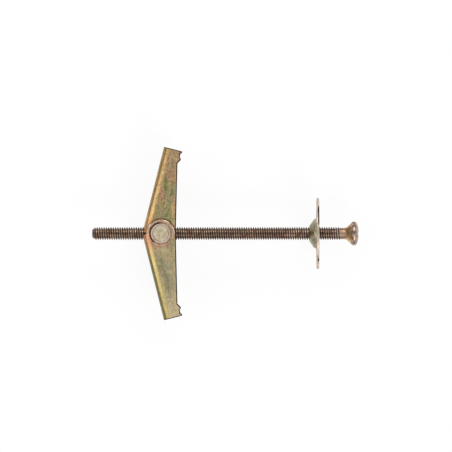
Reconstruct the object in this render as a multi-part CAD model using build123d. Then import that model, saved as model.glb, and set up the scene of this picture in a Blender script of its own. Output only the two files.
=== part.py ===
from build123d import *
import math
import os

# A spring toggle anchor for hollow walls, in millimetres: a raised countersunk
# machine screw, a cup washer loose on it, and a sprung toggle of two folding wings.
# The anchor lies on its side. X runs along the screw from the tip to the head, Z is
# up and the wings spread along Y. The origin is the middle of the footprint.

# Driving dimensions of the screw, an M4 x 80
THREAD_D = 3.9
NECK_D = 3.5
SCREW_L = 80.0
NECK_L = 1.5
HEAD_D = 7.3
HEAD_LAND = 0.65
HEAD_DOME = 1.25
TIP_CHAMFER = 0.5
RECESS_SPAN = 4.4
RECESS_W = 0.95
RECESS_DEPTH = 2.3

# Driving dimensions of the cup washer
WASHER_D = 21.7
WASHER_T = 0.8
WASHER_HOLE_D = 4.3
CUP_DEPTH = 2.15
CUP_END_D = 4.6
CUP_WALL_D = 8.5
CUP_WALL_DEPTH = 0.8
CUP_ROOT_D = 9.4
CUP_SEAT_ANGLE = 45.0
CUP_MOUTH_D = 8.2
CUP_SHOULDER_R = 1.0
CUP_MOUTH_EDGE = 0.3
WASHER_EDGE = 0.2
WASHER_FROM_RIM = 11.0

# Driving dimensions of the toggle
PIVOT_FROM_TIP = 20.9
SHEET_T = 0.8
BEND_R = 1.2
WING_LEAN = 14.05
WING_L = 25.85
STOP_GAP = 0.06
WEB_FROM_PIVOT = 5.45
EAR_R = 4.3
EAR_TOP = 1.6
# The toothed edge near the tip, as places past the pivot and back from the tip
TIP_EDGE = (
    (0.30, 0.0),
    (0.28, 0.45),
    (-0.12, 0.85),
    (-0.08, 1.75),
    (0.43, 2.35),
    (0.43, 2.65),
    (-0.29, 3.85),
)
CHEEK_GAP = 0.5
SCREW_NOTCH_D = 5.2

# Driving dimensions of the cross-bar nut
BAR_D = 6.4
BAR_HALF_L = 3.5
SIDE_PLAY = 0.1
PIN_D = 4.6
PIN_HOLE_D = 4.7
RIVET_D = 6.0
RIVET_T = 0.65
RIVET_LIP_W = 0.6
RIVET_DISH = 0.12
RIVET_EDGE = 0.22
HEAD_PLAY = 0.05
NUT_BORE_D = 4.0

# Driving dimensions of the torsion spring
WIRE_D = 0.6
COIL_R = 3.62
COIL_INNER_Z = 2.55
COIL_PITCH = 0.63
LEG_L = 9.0
FREE_LEG_PLAY = 0.05
BRIDGE_PLAY = 0.12
BRIDGE_HALF_L = 2.3
BRIDGE_CORNER_R = 1.2

# Worked out from the driving dimensions
SCREW_TOTAL = SCREW_L + HEAD_DOME
HEAD_RIM = SCREW_L - HEAD_LAND
TIP_X = -SCREW_TOTAL / 2
AXIS_Z = WASHER_D / 2
PIVOT_X = TIP_X + PIVOT_FROM_TIP
WASHER_X = TIP_X + HEAD_RIM - WASHER_FROM_RIM
INNER_CHEEK_IN = BAR_HALF_L + SIDE_PLAY
INNER_CHEEK_OUT = INNER_CHEEK_IN + SHEET_T
OUTER_CHEEK_IN = INNER_CHEEK_OUT + CHEEK_GAP
OUTER_CHEEK_OUT = OUTER_CHEEK_IN + SHEET_T
RIVET_Z = OUTER_CHEEK_OUT + HEAD_PLAY
WEB_INNER = WEB_FROM_PIVOT - SHEET_T
LEAN = math.radians(WING_LEAN)
WING_HEEL = (WEB_INNER * math.sin(LEAN) - STOP_GAP / 2) / math.cos(LEAN)


def turned(points):
    """A solid turned about the X axis from a profile of (x, radius) points."""
    profile = make_face(Polyline(*points, close=True))
    return revolve(profile, Axis.X)


def make_screw():
    """The screw on the X axis, its tip at x = 0 and its head at the far end."""
    r, neck, head = THREAD_D / 2, NECK_D / 2, HEAD_D / 2
    cone = HEAD_RIM - (head - neck)
    outline = Polyline(
        (SCREW_TOTAL, 0),
        (0, 0),
        (0, r - TIP_CHAMFER),
        (TIP_CHAMFER, r),
        (cone - NECK_L - (r - neck), r),
        (cone - NECK_L, neck),
        (cone, neck),
        (HEAD_RIM, head),
        (SCREW_L, head),
    )
    dome = EllipticalCenterArc((SCREW_L, 0), HEAD_DOME, head, start_angle=0, arc_size=90)
    body = revolve(make_face(outline + dome), Axis.X)
    return body - make_recess()


def make_recess():
    """A cross recess in the top of the head, narrowing towards its bottom."""
    top = SCREW_TOTAL + 0.1
    mouth = Plane(origin=(top, 0, 0), x_dir=(0, 1, 0), z_dir=(-1, 0, 0))
    floor = Plane(origin=(SCREW_TOTAL - RECESS_DEPTH, 0, 0), x_dir=(0, 1, 0), z_dir=(-1, 0, 0))
    arms = []
    for turn in (0, 90):
        wide = mouth * Rectangle(RECESS_SPAN, RECESS_W, rotation=turn)
        narrow = floor * Rectangle(RECESS_SPAN * 0.35, RECESS_W * 0.7, rotation=turn)
        arms.append(loft([wide, narrow]))
    return arms[0] + arms[1]


def make_washer():
    """The cup washer about the X axis, its flange's wall face at x = 0."""
    hole, mouth, rim = WASHER_HOLE_D / 2, CUP_MOUTH_D / 2, WASHER_D / 2
    seat_depth = (mouth - hole) / math.tan(math.radians(CUP_SEAT_ANGLE))
    solid = turned((
        (-CUP_DEPTH, hole),
        (-CUP_DEPTH, CUP_END_D / 2),
        (-CUP_WALL_DEPTH, CUP_WALL_D / 2),
        (0, CUP_ROOT_D / 2),
        (0, rim),
        (WASHER_T, rim),
        (WASHER_T, mouth),
        (WASHER_T - seat_depth, hole),
    ))

    def ring(x, r):
        """The round edge of the washer at this place along the axis and radius."""
        def off(e):
            return abs(e.center().X - x) + abs(e.radius - r)
        return min(solid.edges().filter_by(GeomType.CIRCLE), key=off)

    solid = fillet(ring(-CUP_WALL_DEPTH, CUP_WALL_D / 2), CUP_SHOULDER_R)
    solid = chamfer(ring(WASHER_T, mouth), CUP_MOUTH_EDGE)
    return chamfer([ring(0, rim), ring(WASHER_T, rim)], WASHER_EDGE)


def wing_outline():
    """The side of a wing square to the screw, with its pivot at the origin."""
    heel = -math.pi + math.asin(WING_HEEL / EAR_R)
    sides = Polyline(
        (EAR_R * math.cos(heel), EAR_R * math.sin(heel)),
        (-WEB_FROM_PIVOT, -WING_HEEL),
        (-WEB_FROM_PIVOT, WING_L),
        *[(x, WING_L - back) for x, back in TIP_EDGE],
        (EAR_R, EAR_TOP),
        (EAR_R, 0),
    )
    middle = (EAR_R * math.cos(heel / 2), EAR_R * math.sin(heel / 2))
    ear = ThreePointArc(sides @ 1, middle, sides @ 0)
    return make_face(sides + ear)


def channel_section(web_x, low_z, high_z, corner_r):
    """One outline of the channel's section, open towards +X, in X and Z."""
    far = WEB_FROM_PIVOT
    box = Polyline((far, low_z), (web_x, low_z), (web_x, high_z), (far, high_z), close=True)
    face = make_face(box)
    corners = face.vertices().sort_by(Axis.X)[0:2]
    return fillet(corners, corner_r)


def make_wing():
    """The upper wing as it stands open, with the pivot at the origin."""
    outer = channel_section(
        -WEB_FROM_PIVOT, -OUTER_CHEEK_OUT, INNER_CHEEK_OUT, BEND_R + SHEET_T
    )
    inner = channel_section(
        -WEB_INNER, -OUTER_CHEEK_IN, INNER_CHEEK_IN, BEND_R
    )
    ear_plane = Plane(origin=(0, -EAR_R, 0), x_dir=(1, 0, 0), z_dir=(0, -1, 0))
    channel = extrude(ear_plane * (outer - inner), amount=-(EAR_R + WING_L))
    side = extrude(Pos(0, 0, -OUTER_CHEEK_OUT) * wing_outline(), 2 * OUTER_CHEEK_OUT)
    wing = channel & side
    wing -= Cylinder(PIN_HOLE_D / 2, 3 * OUTER_CHEEK_OUT)
    web_mid = WEB_INNER + SHEET_T / 2
    notch_y = -web_mid * math.tan(LEAN)
    notch = Cylinder(SCREW_NOTCH_D / 2, 3 * SHEET_T, rotation=(0, 90, 0))
    wing -= Pos(-web_mid, notch_y, 0) * notch
    return Rot(0, 0, -WING_LEAN) * wing


def make_rivet_head():
    """One riveted end of the bar: the pin's flat end inside a raised lip."""
    rim = RIVET_D / 2
    inner = rim - RIVET_LIP_W
    floor = RIVET_T - RIVET_DISH
    profile = Polyline(
        (0, 0),
        (rim, 0),
        (rim, RIVET_T - RIVET_EDGE),
        (rim - RIVET_EDGE, RIVET_T),
        (inner + RIVET_DISH, RIVET_T),
        (inner, floor),
        (0, floor),
        close=True,
    )
    return revolve(Plane.XZ * make_face(profile), Axis.Z)


def make_nut():
    """The cross-bar nut with its two riveted pins, on the pivot axis."""
    nut = Cylinder(BAR_D / 2, 2 * BAR_HALF_L)
    bar_ends = nut.edges().filter_by(GeomType.CIRCLE)
    nut = chamfer(bar_ends, 0.25)
    nut += Cylinder(PIN_D / 2, 2 * RIVET_Z)
    head = make_rivet_head()
    nut += Pos(0, 0, RIVET_Z) * head
    nut += Rot(180, 0, 0) * Pos(0, 0, RIVET_Z) * head
    return nut - Cylinder(NUT_BORE_D / 2, 2 * BAR_D, rotation=(0, 90, 0))


def make_spring():
    """The double torsion spring about the pivot axis: a coil on each side of the
    screw, a free leg of each in the upper wing and a bridge in the lower one."""
    free_x, free_y = -(WEB_INNER - WIRE_D / 2 - FREE_LEG_PLAY), LEG_L
    bridge_x, bridge_y = -(WEB_INNER - WIRE_D / 2 - BRIDGE_PLAY), LEG_L

    def leaves_coil(x, y):
        """The angle on the coil where a straight leg to this point leaves it."""
        return math.atan2(y, x) + math.acos(COIL_R / math.hypot(x, y)) - LEAN

    start = leaves_coil(free_x, free_y)
    finish = 4 * math.pi - leaves_coil(bridge_x, bridge_y)
    turns = (finish - start) / (2 * math.pi)
    coil = Helix(pitch=COIL_PITCH, height=turns * COIL_PITCH, radius=COIL_R)
    coil = Pos(0, 0, COIL_INNER_Z) * Rot(0, 0, math.degrees(start)) * coil
    free_end = (Rot(0, 0, -WING_LEAN) * Pos(free_x, free_y, COIL_INNER_Z)).position
    corner = (Rot(0, 0, WING_LEAN) * Pos(bridge_x, -bridge_y, BRIDGE_HALF_L)).position
    bridge_mid = Vector(corner.X, corner.Y, 0)
    bridge = FilletPolyline(bridge_mid, corner, coil @ 1, radius=BRIDGE_CORNER_R)
    path = Wire([*bridge.edges(), coil, Line(coil @ 0, free_end)])
    wire = Plane(origin=bridge_mid, z_dir=(0, 0, 1)) * RegularPolygon(WIRE_D / 2, 8)
    half = sweep(wire, path=path)
    return half + mirror(half, Plane.XY)


def main():
    os.makedirs("parts", exist_ok=True)
    axis = Pos(0, 0, AXIS_Z)
    pivot = Pos(PIVOT_X, 0, AXIS_Z)
    wing = make_wing()
    pieces = {
        "screw": axis * Pos(TIP_X, 0, 0) * make_screw(),
        "washer": axis * Pos(WASHER_X, 0, 0) * make_washer(),
        "trunnion_nut": pivot * make_nut(),
        "wing_a": pivot * wing,
        "wing_b": pivot * Rot(180, 0, 0) * wing,
        "torsion_spring": pivot * make_spring(),
    }
    for name, piece in pieces.items():
        export_step(piece, f"parts/{name}.step")


main()
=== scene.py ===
# The finish of a spring toggle anchor for hollow walls: a raised countersunk machine
# screw, a cup washer, two folding channel wings and a cross-bar nut, all zinc plated
# and chromated, with a double torsion spring, seen from straight above on a white sheet.
import math

import bpy
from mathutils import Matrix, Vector


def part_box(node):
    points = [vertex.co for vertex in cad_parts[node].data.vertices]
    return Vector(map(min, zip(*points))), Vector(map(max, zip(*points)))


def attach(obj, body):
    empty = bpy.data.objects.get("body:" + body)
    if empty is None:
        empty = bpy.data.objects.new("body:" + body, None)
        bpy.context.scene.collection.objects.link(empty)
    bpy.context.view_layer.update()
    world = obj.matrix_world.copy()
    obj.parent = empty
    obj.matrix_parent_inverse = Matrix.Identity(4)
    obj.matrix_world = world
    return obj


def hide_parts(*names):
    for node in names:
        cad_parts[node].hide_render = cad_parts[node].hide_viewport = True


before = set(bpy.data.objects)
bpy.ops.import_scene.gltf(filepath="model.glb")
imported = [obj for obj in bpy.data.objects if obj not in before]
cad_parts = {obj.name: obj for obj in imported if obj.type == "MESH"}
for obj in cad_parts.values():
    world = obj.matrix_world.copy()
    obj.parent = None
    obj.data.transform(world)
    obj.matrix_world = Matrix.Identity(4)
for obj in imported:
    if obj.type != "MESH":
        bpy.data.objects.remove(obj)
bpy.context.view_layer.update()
bpy.ops.object.select_all(action="DESELECT")

MM = 0.001
PHOTO_PX = 452
PX_PER_MM = 3.28
# The photo's middle lies this far from the footprint's middle, along X and Y
LOOK_AT = (0.16 * MM, 2.29 * MM)
CAMERA_HEIGHT = 2.5

screw_low, screw_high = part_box("screw")
nut_low, nut_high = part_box("trunnion_nut")
_, washer_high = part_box("washer")
AXIS_Z = (screw_low.z + screw_high.z) / 2
PIVOT = (nut_low + nut_high) / 2
TIP = Vector((screw_low.x, 0, AXIS_Z))

# The screw, in mm from its tip and from its axis
PITCH = 0.7
CREST_R = 1.98
ROOT_R = 1.47
FLANK_L = 0.24
CREST_L = 0.13
TIP_R = 1.12
TIP_EDGE_R = 1.26
# The blank that trims the thread stays outside its crests
BLANK_R = 2.1
THREAD_END = 75.9
NECK_R = 1.74
HEAD_R = 3.65
HEAD_RIM = 79.35
DOME_START = 80.0
DOME_H = 1.25
DOME_STEPS = 8
# The cross recess: width and length of an arm, how far it narrows to its floor, the
# length of the cutter and how far its middle lies inside the dome's top
RECESS_ARM = (0.92, 4.4)
RECESS_TAPER = (0.7, 0.36)
RECESS_CUTTER_L = 2.5
RECESS_MIDDLE = 1.05

# The wings and the spring, in mm from the pivot
LEAN = math.radians(14.05)
WEB_INNER = 4.65
SHEAR_ROUND = 0.28
WIRE_R = 0.3
WIRE_SIDES = 14
COIL_R = 3.62
COIL_INNER_Z = 2.55
COIL_PITCH = 0.63
LEG_L = 9.0
FREE_LEG_GAP = 0.05
FREE_LEG_X = -(WEB_INNER - WIRE_R - FREE_LEG_GAP)
BRIDGE_GAP = 0.12
BRIDGE_X = -(WEB_INNER - WIRE_R - BRIDGE_GAP)
BRIDGE_HALF_L = 2.3
BRIDGE_LAP = 0.05
BEND_L = 1.2
BEND_CUT = 0.35

# The noise values between which fine grain runs from dark to light
GRAIN_SPAN = (0.3, 0.7)
# Which way from the pivot the painted crescent shadow beside the rivet lies
CRESCENT_SHADOW_WAY = (-0.94, 0.34, 0)
SHEET_SIZE = 4
SHEET_GLOW = 0.9


def make_camera():
    """A long lens straight above, so the wings' sides show square on."""
    data = bpy.data.cameras.new("camera")
    data.type = "PERSP"
    data.sensor_width = 36.0
    width = PHOTO_PX / PX_PER_MM * MM
    data.lens = data.sensor_width * CAMERA_HEIGHT / width
    data.clip_end = 10.0
    camera = bpy.data.objects.new("camera", data)
    camera.location = (LOOK_AT[0], LOOK_AT[1], AXIS_Z + CAMERA_HEIGHT)
    bpy.context.scene.collection.objects.link(camera)
    bpy.context.scene.camera = camera


def pick(obj):
    """Select this object alone and make it active."""
    bpy.ops.object.select_all(action="DESELECT")
    obj.select_set(True)
    bpy.context.view_layer.objects.active = obj


def finish_with(obj, kind, **settings):
    """Put a modifier on the object and apply it."""
    pick(obj)
    modifier = obj.modifiers.new(kind.lower(), kind)
    for key, value in settings.items():
        setattr(modifier, key, value)
    bpy.ops.object.modifier_apply(modifier=modifier.name)


def settle(obj):
    """Put the object's place into its mesh and turn its faces outwards."""
    pick(obj)
    bpy.ops.object.transform_apply(location=True, rotation=True, scale=True)
    bpy.ops.object.mode_set(mode="EDIT")
    bpy.ops.mesh.select_all(action="SELECT")
    bpy.ops.mesh.remove_doubles(threshold=0.002 * MM)
    bpy.ops.mesh.normals_make_consistent(inside=False)
    bpy.ops.object.mode_set(mode="OBJECT")


def draw_profile(name, points):
    """A chain of edges drawn point by point, in mm from the screw's tip and axis."""
    bpy.ops.mesh.primitive_plane_add(size=0.1 * MM, location=TIP)
    obj = bpy.context.object
    obj.name = name
    bpy.ops.object.mode_set(mode="EDIT")
    bpy.ops.mesh.select_all(action="SELECT")
    bpy.ops.mesh.merge(type="CENTER")
    x, r = points[0]
    bpy.ops.transform.translate(value=(x * MM, 0, r * MM))
    for (x0, r0), (x1, r1) in zip(points, points[1:]):
        step = ((x1 - x0) * MM, 0, (r1 - r0) * MM)
        bpy.ops.mesh.extrude_region_move(TRANSFORM_OT_translate={"value": step})
    bpy.ops.object.mode_set(mode="OBJECT")
    return obj


def turn_profile(name, points, steps=64):
    """A closed solid turned about the screw's axis from its profile."""
    obj = draw_profile(name, points)
    bpy.ops.object.mode_set(mode="EDIT")
    bpy.ops.mesh.select_all(action="SELECT")
    bpy.ops.mesh.spin(
        steps=steps, angle=2 * math.pi, center=TIP, axis=(1, 0, 0), use_auto_merge=True
    )
    bpy.ops.object.mode_set(mode="OBJECT")
    settle(obj)
    return obj


def cut_with(obj, tool, operation):
    """Combine the object with a tool body and throw the tool away."""
    finish_with(obj, "BOOLEAN", operation=operation, object=tool, solver="EXACT")
    bpy.data.objects.remove(tool, do_unlink=True)


def make_screw():
    """The machine screw with its rolled thread, neck, countersunk head and recess."""
    start = -2 * PITCH
    thread = draw_profile("machine_screw", (
        (start, ROOT_R),
        (start + FLANK_L, CREST_R),
        (start + FLANK_L + CREST_L, CREST_R),
        (start + 2 * FLANK_L + CREST_L, ROOT_R),
        (start + PITCH, ROOT_R),
    ))
    turns = math.ceil(THREAD_END / PITCH) + 4
    finish_with(
        thread, "SCREW", axis="X", screw_offset=PITCH * MM, angle=2 * math.pi,
        iterations=turns, steps=32, render_steps=32,
    )
    settle(thread)
    for x, out in ((-0.2, -1), (THREAD_END + 0.4, 1)):
        bpy.ops.object.mode_set(mode="EDIT")
        bpy.ops.mesh.select_all(action="SELECT")
        bpy.ops.mesh.bisect(
            plane_co=(TIP.x + x * MM, 0, AXIS_Z), plane_no=(out, 0, 0),
            use_fill=True, clear_outer=True, threshold=1e-7,
        )
        bpy.ops.object.mode_set(mode="OBJECT")
    settle(thread)
    blank = turn_profile("thread_blank", (
        (0.0, 0.0),
        (0.0, TIP_R),
        (0.14, TIP_EDGE_R),
        (1.15, BLANK_R),
        (THREAD_END - 0.9, BLANK_R),
        (THREAD_END, NECK_R - 0.1),
        (THREAD_END, 0.0),
    ), steps=48)
    cut_with(thread, blank, "INTERSECT")
    dome = []
    for k in range(1, DOME_STEPS + 1):
        a = math.radians(k * 90 / DOME_STEPS)
        dome.append((DOME_START + DOME_H * math.sin(a), HEAD_R * math.cos(a)))
    dome[-1] = (DOME_START + DOME_H, 0.0)
    head = turn_profile("screw_head", (
        (THREAD_END - 1.6, 0.0),
        (THREAD_END - 1.6, 1.48),
        (THREAD_END - 0.7, 1.66),
        (THREAD_END - 0.1, NECK_R),
        (HEAD_RIM - 2.35, NECK_R),
        (HEAD_RIM - 2.05, NECK_R + 0.05),
        (HEAD_RIM - 1.75, NECK_R + 0.22),
        (HEAD_RIM - 0.14, HEAD_R - 0.16),
        (HEAD_RIM - 0.02, HEAD_R - 0.05),
        (HEAD_RIM + 0.10, HEAD_R),
        (DOME_START, HEAD_R),
        *dome,
    ), steps=72)
    cut_with(thread, head, "UNION")
    middle = TIP.x + (DOME_START + DOME_H - RECESS_MIDDLE) * MM
    for turn in (0, 1):
        bpy.ops.mesh.primitive_cube_add(size=1, location=(middle, 0, AXIS_Z))
        arm = bpy.context.object
        arm.scale = (
            RECESS_CUTTER_L * MM, RECESS_ARM[turn] * MM, RECESS_ARM[1 - turn] * MM
        )
        bpy.ops.object.transform_apply(location=True, rotation=True, scale=True)
        bpy.ops.object.mode_set(mode="EDIT")
        bpy.ops.mesh.select_all(action="DESELECT")
        bpy.ops.object.mode_set(mode="OBJECT")
        for polygon in arm.data.polygons:
            polygon.select = polygon.normal.x < -0.9
        bpy.ops.object.mode_set(mode="EDIT")
        taper = (1.0, RECESS_TAPER[turn], RECESS_TAPER[1 - turn])
        bpy.ops.transform.resize(value=taper, center_override=(0, 0, AXIS_Z))
        bpy.ops.object.mode_set(mode="OBJECT")
        cut_with(thread, arm, "DIFFERENCE")
    settle(thread)
    pick(thread)
    bpy.ops.object.shade_smooth_by_angle(angle=math.radians(32))
    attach(thread, "screw")
    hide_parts("screw")
    return thread


def from_pivot(x, y, z):
    """A point in mm from the pivot, as a place in the scene."""
    return PIVOT + Vector((x, y, z)) * MM


def leaned(x, y, side):
    """A point of a wing's own frame turned into the anchor's, in mm from the pivot."""
    c, s = math.cos(LEAN), math.sin(LEAN) * side
    return x * c + y * s, -x * s + y * c


def leaves_coil(x, y):
    """The angle on the coil where a straight leg to this point leaves it."""
    return math.atan2(y, x) + math.acos(COIL_R / math.hypot(x, y)) - LEAN


def add_wire_end(name, start, along):
    """The cut face of a wire: a small circle square to where the wire goes."""
    bpy.ops.mesh.primitive_circle_add(
        vertices=WIRE_SIDES, radius=WIRE_R * MM, location=start,
        rotation=Vector(along).to_track_quat("Z", "Y").to_euler(),
    )
    obj = bpy.context.object
    obj.name = name
    return obj


def extrude_wire(obj, steps):
    """Draw the wire on from its last ring, one straight step at a time."""
    bpy.ops.object.mode_set(mode="EDIT")
    bpy.ops.mesh.select_all(action="SELECT")
    bpy.ops.mesh.edge_face_add()
    for step in steps:
        bpy.ops.mesh.extrude_region_move(TRANSFORM_OT_translate={"value": step})
    bpy.ops.object.mode_set(mode="OBJECT")


def copy_node(node, name):
    """A merged copy of a CAD node's mesh, for a finer piece in its place."""
    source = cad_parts[node]
    mesh = source.data.copy()
    obj = bpy.data.objects.new(name, mesh)
    bpy.context.scene.collection.objects.link(obj)
    pick(obj)
    bpy.ops.object.mode_set(mode="EDIT")
    bpy.ops.mesh.select_all(action="SELECT")
    bpy.ops.mesh.remove_doubles(threshold=0.001 * MM)
    bpy.ops.mesh.dissolve_limited(angle_limit=math.radians(0.6))
    bpy.ops.object.mode_set(mode="OBJECT")
    return obj


def make_wing(node, name):
    """A pressed wing with the slightly rounded edges of sheared sheet."""
    wing = copy_node(node, name)
    wing.data.materials.clear()
    wing.data.materials.append(None)
    wing.data.materials.append(None)
    finish_with(
        wing, "BEVEL", width=SHEAR_ROUND * MM, segments=3, limit_method="ANGLE",
        angle_limit=math.radians(50), harden_normals=False, material=1,
        use_clamp_overlap=False,
    )
    pick(wing)
    bpy.ops.object.shade_smooth_by_angle(angle=math.radians(35))
    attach(wing, node)
    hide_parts(node)
    return wing


def make_spring():
    """The double torsion spring: two coils on the bar, free legs in the upper wing
    and a bridge in the lower one. Each part turns with what holds it."""
    wires = []
    start = leaves_coil(FREE_LEG_X, LEG_L)
    finish = 4 * math.pi - leaves_coil(BRIDGE_X, LEG_L)
    turns = (finish - start) / (2 * math.pi)
    outer_z = COIL_INNER_Z + turns * COIL_PITCH
    free_x, free_y = leaned(FREE_LEG_X, LEG_L, 1)
    corner_x, corner_y = leaned(BRIDGE_X, -LEG_L, -1)
    for side, word in ((1, "top"), (-1, "under")):
        begin = Vector((COIL_R * math.cos(start), COIL_R * math.sin(start), 0))
        end = Vector((COIL_R * math.cos(finish), COIL_R * math.sin(finish), 0))
        across = Vector((-begin.y, begin.x, 0))
        coil = add_wire_end(
            f"spring_coil_{word}", from_pivot(begin.x, begin.y, side * COIL_INNER_Z), across
        )
        bpy.context.scene.cursor.location = PIVOT
        bpy.ops.object.transform_apply(location=False, rotation=True, scale=True)
        bpy.ops.object.origin_set(type="ORIGIN_CURSOR")
        finish_with(
            coil, "SCREW", axis="Z", screw_offset=side * turns * COIL_PITCH * MM,
            angle=turns * 2 * math.pi, iterations=1, steps=72, render_steps=72,
        )
        bpy.ops.object.mode_set(mode="EDIT")
        bpy.ops.mesh.select_all(action="DESELECT")
        bpy.ops.mesh.select_non_manifold()
        bpy.ops.mesh.edge_face_add()
        bpy.ops.object.mode_set(mode="OBJECT")
        settle(coil)
        free = Vector((free_x, free_y, 0)) - begin
        leg = add_wire_end(
            f"spring_free_leg_{word}", from_pivot(begin.x, begin.y, side * COIL_INNER_Z), free
        )
        extrude_wire(leg, [free * MM])
        settle(leg)
        corner = Vector((corner_x, corner_y, BRIDGE_HALF_L))
        last = Vector((end.x, end.y, outer_z))
        along = (corner - last).normalized()
        bridge_leg = add_wire_end(
            f"spring_bridge_{word}", from_pivot(last.x, last.y, side * last.z),
            (along.x, along.y, side * along.z),
        )
        path = [
            corner - along * BEND_L,
            corner - along * BEND_CUT + Vector((0, 0, -BEND_CUT)),
            corner - Vector((0, 0, BEND_L)),
            Vector((corner.x, corner.y, -BRIDGE_LAP)),
        ]
        steps = [b - a for a, b in zip([last, *path], path)]
        extrude_wire(bridge_leg, [Vector((s.x, s.y, side * s.z)) * MM for s in steps])
        settle(bridge_leg)
        for piece, body in ((coil, "toggle_nut"), (leg, "wing_a"), (bridge_leg, "wing_b")):
            pick(piece)
            bpy.ops.object.shade_smooth_by_angle(angle=math.radians(50))
            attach(piece, body)
            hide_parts("torsion_spring")
            wires.append(piece)
    return wires


def linear(hex_colour):
    """An sRGB hex colour as linear RGBA."""
    parts = [int(hex_colour[i:i + 2], 16) / 255 for i in (1, 3, 5)]
    light = [c / 12.92 if c <= 0.04045 else ((c + 0.055) / 1.055) ** 2.4 for c in parts]
    return light + [1.0]


def add(tree, kind, inputs=(), **settings):
    """Add a node with its settings, and link or set its inputs, given as pairs."""
    node = tree.nodes.new(kind)
    for key, value in settings.items():
        setattr(node, key, value)
    for socket, value in inputs:
        if isinstance(value, bpy.types.NodeSocket):
            tree.links.new(value, node.inputs[socket])
        else:
            node.inputs[socket].default_value = value
    return node


def new_finish(name, rough, metal=1.0):
    """An empty material and its shader, for a finish of this name."""
    material = bpy.data.materials.new(name)
    material.use_nodes = True
    tree = material.node_tree
    shader = tree.nodes["Principled BSDF"]
    shader.inputs["Metallic"].default_value = metal
    shader.inputs["Roughness"].default_value = rough
    return material, tree, shader


def ramp(tree, value, *stops):
    """How strongly something shows, or which colour, along a value from 0 to 1."""
    node = add(tree, "ShaderNodeValToRGB", [(0, value)])
    elements = node.color_ramp.elements
    elements[0].position, elements[1].position = stops[0][0], stops[-1][0]
    for place, _ in stops[1:-1]:
        elements.new(place)
    for element, (_, colour) in zip(elements, stops):
        element.color = linear(colour) if isinstance(colour, str) else (colour,) * 3 + (1,)
    return node.outputs["Color"]


def spread(tree, value, low, high):
    """A length in metres between low and high mm, brought to 0 to 1."""
    node = add(tree, "ShaderNodeMapRange", [
        ("Value", value), ("From Min", low * MM), ("From Max", high * MM),
    ], clamp=True)
    return node.outputs["Result"]


def tint(tree, amount, under, over):
    """One colour laid over another by an amount."""
    node = add(tree, "ShaderNodeMix", [
        ("Factor", amount), (6, under), (7, over),
    ], data_type="RGBA")
    return node.outputs[2]


def times(tree, first, second):
    """Two strengths multiplied."""
    node = add(tree, "ShaderNodeMath", [(0, first), (1, second)], operation="MULTIPLY")
    return node.outputs[0]


def measured_from(tree, place, turn=(0, 0, 0)):
    """The piece's own coordinates, measured from this place and in this turn."""
    coords = add(tree, "ShaderNodeTexCoord").outputs["Object"]
    node = add(tree, "ShaderNodeMapping", [
        ("Vector", coords), ("Location", place), ("Rotation", turn),
    ], vector_type="TEXTURE")
    return node.outputs["Vector"]


def scaled(tree, place, scale):
    """Coordinates scaled along each axis. A scale of 0 takes the axis out."""
    node = add(tree, "ShaderNodeMapping", [("Vector", place), ("Scale", scale)])
    return node.outputs["Vector"]


def distance(tree, place, axes):
    """How far a point lies from the origin, along the axes that are kept."""
    flat = scaled(tree, place, axes)
    node = add(tree, "ShaderNodeVectorMath", [(0, flat)], operation="LENGTH")
    return node.outputs["Value"]


def mottle(tree, place, size_mm, detail=2.0, rough=0.5):
    """Cloudy blotches of about this size on the piece."""
    node = add(tree, "ShaderNodeTexNoise", [
        ("Vector", place), ("Scale", 1 / (size_mm * MM)),
        ("Detail", detail), ("Roughness", rough),
    ])
    return node.outputs["Fac"]


def shaded(tree, colour, value, span, light):
    """A colour made darker and lighter as a value runs through its span."""
    amount = add(tree, "ShaderNodeMapRange", [
        ("Value", value), ("From Min", span[0]), ("From Max", span[1]),
        ("To Min", light[0]), ("To Max", light[1]),
    ], clamp=True).outputs["Result"]
    node = add(tree, "ShaderNodeVectorMath", [(0, colour), ("Scale", amount)],
               operation="SCALE")
    return node.outputs["Vector"]


def coat(tree, shader, colour, height, strength, depth_mm):
    """Give the shader its colour and the fine relief of its surface."""
    tree.links.new(colour, shader.inputs["Base Color"])
    bump = add(tree, "ShaderNodeBump", [
        ("Strength", strength), ("Distance", depth_mm * MM), ("Height", height),
    ])
    tree.links.new(bump.outputs["Normal"], shader.inputs["Normal"])


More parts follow.
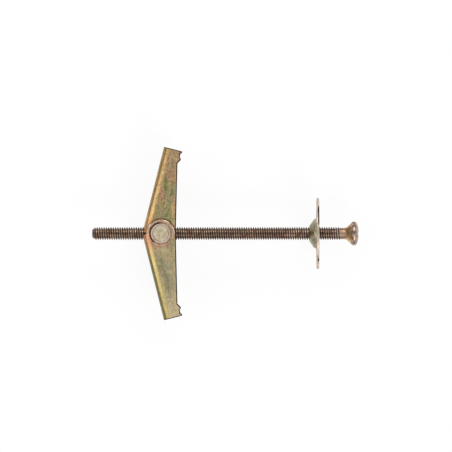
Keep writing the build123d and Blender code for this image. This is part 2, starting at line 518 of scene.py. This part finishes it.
def finish_wing(name, side, colours):
    """Yellow chromate over zinc on pressed sheet: a thin film whose thickness
    drifts, so it turns from gold to olive, rose and grey-green over a few
    millimetres, with fine rolling grain along the wing and a worn rivet seat.
    Places are in mm from the pivot, x across the wing and y along it."""
    material, tree, shader = new_finish(name, 0.34)
    turn = (0, 0, -LEAN) if side > 0 else (math.pi, 0, LEAN)
    own = measured_from(tree, PIVOT, turn)
    parts = add(tree, "ShaderNodeSeparateXYZ", [("Vector", own)])
    x, y = parts.outputs["X"], parts.outputs["Y"]
    radius = distance(tree, own, (1, 1, 0))
    stretched = scaled(tree, own, (1.0, 0.35, 1.0))
    grainwise = scaled(tree, own, (1.0, 0.12, 1.0))

    cloud = mottle(tree, stretched, 2.6, 3.0)
    colour = ramp(tree, cloud, (0.39, colours["olive"]), (0.50, colours["khaki"]),
                  (0.60, colours["tan"]))
    rosy = ramp(tree, mottle(tree, stretched, 1.9, 2.0), (0.52, 0.0),
                (0.68, colours["rose_amount"]))
    colour = tint(tree, rosy, colour, linear(colours["rose"]))
    green = ramp(tree, mottle(tree, own, 3.4, 1.0), (0.50, 0.0), (0.66, 0.6))
    middle = ramp(tree, spread(tree, x, -4.0, 4.4), (0.15, 0.0), (0.42, 1.0),
                  (0.60, 1.0), (0.85, 0.0))
    green = times(tree, green, middle)
    colour = tint(tree, green, colour, linear(colours["green"]))
    # Towards the tip the film is thinner and paler
    tip = ramp(tree, spread(tree, y, 15.0, 25.0), (0.0, 0.0), (0.8, colours["tip_amount"]))
    colour = tint(tree, tip, colour, linear(colours["tip"]))
    # Painted highlight: the bend is tinted a lighter, clearer yellow
    bend = ramp(tree, spread(tree, x, -5.5, -2.4), *colours["bend_highlight_amount"])
    colour = tint(tree, bend, colour, linear(colours["gold"]))
    # Painted shade: the outer rim of the fold is tinted a darker amber
    outer_rim_shade = ramp(tree, spread(tree, x, -5.5, -3.9), *colours["outer_rim_shade_amount"])
    colour = tint(tree, outer_rim_shade, colour, linear(colours["outer_rim_shade_colour"]))
    # Rubbed rose by the rivet's edge
    seat = ramp(tree, spread(tree, radius, 2.9, 5.4), (0.0, 0.85), (0.42, 0.75), (0.85, 0.0))
    worn = ramp(tree, mottle(tree, own, 1.5, 1.0), (0.38, 0.35), (0.58, 1.0))
    seat = times(tree, seat, worn)
    colour = tint(tree, seat, colour, linear(colours["seat"]))

    # Heated salmon shoulder where the bend passes the pivot
    shoulder = ramp(tree, spread(tree, y, -1.0, 6.5), (0.0, 1.0), (0.45, 0.75), (1.0, 0.0))
    beside = ramp(tree, spread(tree, x, -6.0, -2.0), (0.0, 0.7), (0.5, 1.0), (1.0, 0.0))
    shoulder = times(tree, shoulder, beside)
    colour = tint(tree, shoulder, colour, linear(colours["salmon"]))

    if side > 0:
        # Painted shadow: a dark ring on this cheek just outside the rim of the ear that lies on
        # it
        ear_rim_shadow = ramp(tree, spread(tree, radius, 4.2, 5.2), (0.0, 0.8), (0.3, 0.75), (0.6, 0.0))
        colour = tint(tree, ear_rim_shadow, colour, linear("#5a4333"))
    if side < 0:
        # Painted highlight: a pale ring on the ear round the rivet, broken up by the worn mottle
        pressed = ramp(tree, spread(tree, radius, 3.4, 4.2), (0.1, 0.0), (0.25, 0.9), (0.45, 0.9),
                       (0.6, 0.0))
        pressed = times(tree, pressed, worn)
        colour = tint(tree, pressed, colour, linear("#d8c0aa"))
        # Painted shadow: a dark crescent on the ear against one side of the rivet
        flat = scaled(tree, measured_from(tree, PIVOT), (1, 1, 0))
        way = add(tree, "ShaderNodeVectorMath", [(0, flat)],
                  operation="NORMALIZE").outputs["Vector"]
        aside = add(tree, "ShaderNodeVectorMath", [(0, way), (1, CRESCENT_SHADOW_WAY)],
                    operation="DOT_PRODUCT").outputs["Value"]
        aside = ramp(tree, aside, (0.1, 0.0), (0.45, 1.0))
        ring = ramp(tree, spread(tree, radius, 2.9, 3.9), (0.0, 1.0), (0.5, 0.9), (0.8, 0.0))
        crescent_shadow = times(tree, aside, ring)
        colour = tint(tree, crescent_shadow, colour, linear("#4a2620"))

    # Rolled grain 0.12 mm across, drawn at 0.3 mm because finer wouldn't show
    grain = mottle(tree, grainwise, 0.3, 2.0, 0.6)
    freckle = mottle(tree, own, 0.42, 2.0, 0.65)
    shade = add(tree, "ShaderNodeMath", [(0, grain), (1, freckle)], operation="ADD").outputs[0]
    # Bright and brown specks where the film is scratched or thick
    specks = mottle(tree, own, 0.6, 1.0)
    bright = ramp(tree, specks, (0.60, 0.0), (0.72, colours["speck_amount"]))
    colour = tint(tree, bright, colour, linear(colours["speck"]))
    brown = ramp(tree, specks, (0.28, colours["speck_amount"]), (0.40, 0.0))
    colour = tint(tree, brown, colour, linear("#6a5034"))
    colour = shaded(tree, colour, shade, (0.78, 1.22),
                    (1 - colours["grain"], 1 + colours["grain"]))
    dull = add(tree, "ShaderNodeMapRange", [
        ("Value", freckle), ("From Min", GRAIN_SPAN[0]), ("From Max", GRAIN_SPAN[1]),
        ("To Min", 0.28), ("To Max", 0.42),
    ]).outputs["Result"]
    tree.links.new(dull, shader.inputs["Roughness"])
    coat(tree, shader, colour, shade, 0.25, 0.012)
    return material


def finish_screw():
    """Chromated machine screw handled until the film is bronze brown, with painted shade
    darkening the crests of the thread, a pinkish bright head and a rubbed neck. Places
    are in mm from its tip and its axis."""
    material, tree, shader = new_finish("chromated_bolt_steel", 0.33)
    own = measured_from(tree, TIP)
    x = add(tree, "ShaderNodeSeparateXYZ", [("Vector", own)]).outputs["X"]
    radius = distance(tree, own, (0, 1, 1))
    along = scaled(tree, own, (0.3, 1, 1))
    cloud = mottle(tree, along, 2.2, 3.0, 0.6)
    colour = ramp(tree, cloud, (0.34, "#a8988a"), (0.5, "#bcaa9a"), (0.66, "#cfbfb0"))
    rust = ramp(tree, mottle(tree, own, 1.6, 2.0), (0.5, 0.0), (0.66, 0.7))
    colour = tint(tree, rust, colour, linear("#a0705a"))
    # Painted shade: the crests of the thread are darkened all round
    crest_shade = ramp(tree, spread(tree, radius, 1.66, 1.94), (0.0, 0.0), (0.7, 0.92))
    colour = tint(tree, crest_shade, colour, linear("#463831"))
    # The cut end has lost its film and is dark
    end = ramp(tree, spread(tree, x, 0.0, 2.0), (0.2, 0.85), (0.7, 0.0))
    colour = tint(tree, end, colour, linear("#5f4f4c"))
    head = ramp(tree, spread(tree, x, 75.5, 77.2), (0.0, 0.0), (0.6, 1.0))
    bright = ramp(tree, cloud, (0.35, "#8e7058"), (0.5, "#a98a70"), (0.62, "#cfae90"))
    colour = tint(tree, head, colour, bright)
    cone = ramp(tree, spread(tree, x, 77.3, 78.3), (0.0, 0.0), (0.8, 1.0))
    cone_colour = ramp(tree, cloud, (0.38, "#a98464"), (0.5, "#d0b08e"), (0.60, "#e0c8aa"))
    colour = tint(tree, cone, colour, cone_colour)
    # The rim has been knocked and rubbed grey in places
    knocked = ramp(tree, mottle(tree, own, 1.3, 1.0), (0.50, 0.0), (0.60, 0.8))
    at_rim = ramp(tree, spread(tree, radius, 3.1, 3.7), (0.0, 0.0), (0.5, 1.0))
    knocked = times(tree, knocked, at_rim)
    dome = ramp(tree, spread(tree, x, 79.2, 80.0), (0.0, 0.0), (0.6, 1.0))
    dome_colour = ramp(tree, cloud, (0.35, "#947c6d"), (0.5, "#a99080"), (0.64, "#bfa999"))
    colour = tint(tree, dome, colour, dome_colour)
    colour = tint(tree, knocked, colour, linear("#6a6260"))
    grain = mottle(tree, own, 0.35, 3.0, 0.65)
    colour = shaded(tree, colour, grain, GRAIN_SPAN, (0.8, 1.2))
    coat(tree, shader, colour, grain, 0.3, 0.012)
    return material


def finish_wire():
    """Drawn spring wire: a soft grey sheen with cloudy patches and darker flecks."""
    material, tree, shader = new_finish("drawn_spring_wire", 0.3)
    own = add(tree, "ShaderNodeTexCoord").outputs["Object"]
    cloud = mottle(tree, own, 2.4, 3.0, 0.6)
    colour = ramp(tree, cloud, (0.36, "#8d877b"), (0.5, "#a39d90"), (0.62, "#b9b3a6"))
    spots = ramp(tree, mottle(tree, own, 0.7, 2.0, 0.6), (0.56, 0.0), (0.70, 0.4))
    colour = tint(tree, spots, colour, linear("#6f6a60"))
    grain = mottle(tree, own, 0.3, 2.0, 0.6)
    colour = shaded(tree, colour, grain, GRAIN_SPAN, (0.88, 1.10))
    coat(tree, shader, colour, grain, 0.2, 0.01)
    return material


def finish_rivet():
    """Pale chromate on the closed end of the cross-bar: turned flat in the middle,
    a dark line where the lip was rolled over, and the lip rubbed bright."""
    material, tree, shader = new_finish("rolled_rivet_zinc", 0.36)
    own = measured_from(tree, PIVOT)
    radius = distance(tree, own, (1, 1, 0))
    cloud = mottle(tree, own, 2.0, 3.0, 0.6)
    colour = ramp(tree, cloud, (0.36, "#d7c2a0"), (0.5, "#eadebb"), (0.62, "#f5ecd6"))
    rim = ramp(tree, spread(tree, radius, 2.0, 3.0), (0.42, 0.0), (0.58, 1.0))
    colour = tint(tree, rim, colour, linear("#ead6c6"))
    line = ramp(tree, spread(tree, radius, 2.0, 3.0), (0.22, 0.0), (0.34, 0.85), (0.40, 0.85),
                (0.52, 0.0))
    clogged = ramp(tree, mottle(tree, own, 3.0, 1.0), (0.42, 0.15), (0.58, 1.0))
    line = times(tree, line, clogged)
    colour = tint(tree, line, colour, linear("#6b4d3c"))
    blush = ramp(tree, mottle(tree, own, 1.1, 1.0), (0.52, 0.0), (0.66, 0.5))
    colour = tint(tree, blush, colour, linear("#cf9f86"))
    brushed = add(tree, "ShaderNodeMapping", [
        ("Vector", own), ("Rotation", (0, 0, math.radians(35))), ("Scale", (1, 0.3, 1)),
    ]).outputs["Vector"]
    grain = mottle(tree, brushed, 0.3, 2.0, 0.6)
    colour = shaded(tree, colour, grain, GRAIN_SPAN, (0.84, 1.12))
    coat(tree, shader, colour, grain, 0.25, 0.012)
    return material


def finish_washer():
    """Punched and pressed cup washer under nearly clear chromate: a pale flange, a
    greener cup with handling marks, and a punched edge whose torn side is dark on
    two stretches, darkened near black as painted shade on the side facing the head."""
    material, tree, shader = new_finish("punched_washer_zinc", 0.42)
    centre = (washer_high.x, 0, AXIS_Z)
    own = measured_from(tree, centre)
    parts = add(tree, "ShaderNodeSeparateXYZ", [("Vector", own)])
    radius = distance(tree, own, (0, 1, 1))
    cloud = mottle(tree, own, 2.4, 3.0, 0.6)
    colour = ramp(tree, cloud, (0.36, "#b5a896"), (0.5, "#cbbcab"), (0.62, "#ddcdbf"))
    cup = ramp(tree, spread(tree, radius, 4.2, 5.2), (0.2, 1.0), (0.7, 0.0))
    cup_colour = ramp(tree, cloud, (0.36, "#8b8468"), (0.5, "#a39a7c"), (0.62, "#b8ae92"))
    colour = tint(tree, cup, colour, cup_colour)
    spots = ramp(tree, mottle(tree, own, 0.7, 2.0, 0.6), (0.54, 0.0), (0.68, 0.75))
    spots = times(tree, spots, cup)
    colour = tint(tree, spots, colour, linear("#4d4232"))
    # The torn side of the punched edge on two stretches, darkened near black as painted shade on
    # the side facing the head
    torn = ramp(tree, spread(tree, parts.outputs["X"], -0.8, 0.0), (0.42, 0.0), (0.52, 1.0))
    edge = ramp(tree, spread(tree, radius, 10.2, 10.7), (0.2, 0.0), (0.6, 1.0))
    stretch = ramp(tree, spread(tree, parts.outputs["Y"], -10.0, 10.0), (0.07, 0.0), (0.085, 1.0),
                   (0.115, 1.0), (0.13, 0.0), (0.62, 0.0), (0.66, 1.0), (0.90, 1.0), (0.93, 0.0))
    torn = times(tree, torn, edge)
    torn = times(tree, torn, stretch)
    colour = tint(tree, torn, colour, linear("#1d1510"))
    grain = mottle(tree, own, 0.3, 2.0, 0.6)
    colour = shaded(tree, colour, grain, GRAIN_SPAN, (0.86, 1.12))
    coat(tree, shader, colour, grain, 0.25, 0.012)
    return material


def finish_edge_shade_and_highlight():
    """The rolled-over edge of sheared sheet, painted dark brown as shade, with a painted
    highlight in rose and pale round the rivet, along the ear's rim."""
    material, tree, shader = new_finish("sheared_edge_painted_shade_and_highlight", 0.5)
    own = measured_from(tree, PIVOT)
    radius = distance(tree, own, (1, 1, 0))
    cloud = mottle(tree, own, 1.6, 2.0)
    # Painted shade: the edge is dark brown all along
    colour = ramp(tree, cloud, (0.38, "#1c120c"), (0.5, "#2a1b12"), (0.64, "#453021"))
    rubbed = ramp(tree, cloud, (0.40, "#b08e76"), (0.5, "#d9c3ae"), (0.60, "#f0e4d6"))
    # Painted highlight: rose and pale along the ear's rim round the rivet
    near = ramp(tree, spread(tree, radius, 4.0, 5.0), (0.3, 1.0), (0.4, 0.0))
    colour = tint(tree, near, colour, rubbed)
    tree.links.new(colour, shader.inputs["Base Color"])
    return material


def dress(obj, material, edges=None):
    """Give the piece its finish, and its sheared edges theirs."""
    if edges:
        obj.data.materials[0] = material
        obj.data.materials[1] = edges
    else:
        obj.data.materials.clear()
        obj.data.materials.append(material)


def make_sheet():
    """The white sheet the anchor lies on. It shows white and keeps a soft shadow."""
    bpy.ops.mesh.primitive_plane_add(size=SHEET_SIZE, location=(0, 0, 0))
    sheet = bpy.context.object
    sheet.name = "white_sheet"
    material, tree, shader = new_finish("white_card", 0.9, metal=0.0)
    shader.inputs["Base Color"].default_value = linear("#f4f4f4")
    shader.inputs["Specular IOR Level"].default_value = 0.0
    path = add(tree, "ShaderNodeLightPath")
    seen = add(tree, "ShaderNodeMath", [
        (0, path.outputs["Is Camera Ray"]), (1, path.outputs["Is Glossy Ray"]),
    ], operation="MAXIMUM").outputs[0]
    seen = add(tree, "ShaderNodeMath", [
        (0, seen), (1, path.outputs["Is Transmission Ray"]),
    ], operation="MAXIMUM").outputs[0]
    share = times(tree, seen, SHEET_GLOW)
    glow = add(tree, "ShaderNodeEmission", [("Color", linear("#ffffff")), ("Strength", 1.0)])
    mixed = add(tree, "ShaderNodeMixShader", [
        (0, share), (1, shader.outputs[0]), (2, glow.outputs[0]),
    ])
    tree.links.new(mixed.outputs[0], tree.nodes["Material Output"].inputs["Surface"])
    dress(sheet, material)


def add_softbox(name, place, size, watts):
    """A soft lamp that faces the anchor's middle."""
    data = bpy.data.lights.new(name, "AREA")
    data.shape = "RECTANGLE"
    data.size, data.size_y = size
    data.energy = watts
    lamp = bpy.data.objects.new(name, data)
    lamp.location = place
    facing = Vector((0, 0, AXIS_Z)) - Vector(place)
    lamp.rotation_euler = facing.to_track_quat("-Z", "Y").to_euler()
    bpy.context.scene.collection.objects.link(lamp)


def make_lights():
    """A pale room with a darker skirting and a darker spot straight above, a window
    on the left and two soft lamps."""
    world = bpy.data.worlds.new("pale_room")
    bpy.context.scene.world = world
    world.use_nodes = True
    tree = world.node_tree
    way = add(tree, "ShaderNodeTexCoord").outputs["Generated"]
    up = add(tree, "ShaderNodeSeparateXYZ", [("Vector", way)]).outputs["Z"]
    level = ramp(tree, up, (0.0, 0.10), (0.12, 0.16), (0.34, 0.76), (0.95, 0.90),
                 (0.985, 0.35), (1.0, 0.30))
    tree.links.new(level, tree.nodes["Background"].inputs["Color"])
    tree.nodes["Background"].inputs["Strength"].default_value = 1.0
    add_softbox("window_left", (-1.05, 0.0, 0.9), (0.6, 1.0), 2.0)
    add_softbox("key_lower_right", (0.45, -0.85, 0.85), (0.4, 0.4), 5.0)
    add_softbox("fill_upper", (0.1, 1.0, 0.75), (0.9, 0.5), 4.5)


make_camera()
machine_screw = make_screw()
upper_wing = make_wing("wing_a", "upper_wing")
lower_wing = make_wing("wing_b", "lower_wing")
wires = make_spring()

dress(machine_screw, finish_screw())
sheared = finish_edge_shade_and_highlight()
dress(upper_wing, finish_wing("yellow_chromate_upper_wing", 1, {
    "olive": "#969460", "khaki": "#b9a87a", "tan": "#c2a276", "rose": "#c58d76",
    "rose_amount": 0.75, "green": "#8b9470", "tip": "#b59376", "tip_amount": 0.5,
    "gold": "#cfae76", "outer_rim_shade_colour": "#9a7a4c", "seat": "#bd8272", "salmon": "#cc9a62",
    "speck": "#dcc59c", "speck_amount": 0.4, "grain": 0.28,
    "bend_highlight_amount": ((0.0, 0.5), (0.30, 1.0), (0.5, 0.9), (0.75, 0.0)),
    "outer_rim_shade_amount": ((0.0, 0.9), (0.45, 0.9), (0.7, 0.0)),
}), sheared)
dress(lower_wing, finish_wing("yellow_chromate_lower_wing", -1, {
    "olive": "#a29a76", "khaki": "#b6aa82", "tan": "#c9b88c", "rose": "#c0a086",
    "rose_amount": 0.4, "green": "#9aa088", "tip": "#dcc8a0", "tip_amount": 0.9,
    "gold": "#cbb878", "outer_rim_shade_colour": "#746844", "seat": "#bb8570", "salmon": "#be8869",
    "speck": "#dccba4", "speck_amount": 0.25, "grain": 0.16,
    "bend_highlight_amount": ((0.0, 0.5), (0.30, 1.0), (0.55, 0.9), (0.8, 0.0)),
    "outer_rim_shade_amount": ((0.0, 0.9), (0.4, 0.9), (0.65, 0.0)),
}), sheared)
dress(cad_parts["trunnion_nut"], finish_rivet())
dress(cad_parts["washer"], finish_washer())
wire_steel = finish_wire()
for wire in wires:
    dress(wire, wire_steel)

make_sheet()
make_lights()
bpy.context.scene.view_settings.view_transform = "Standard"
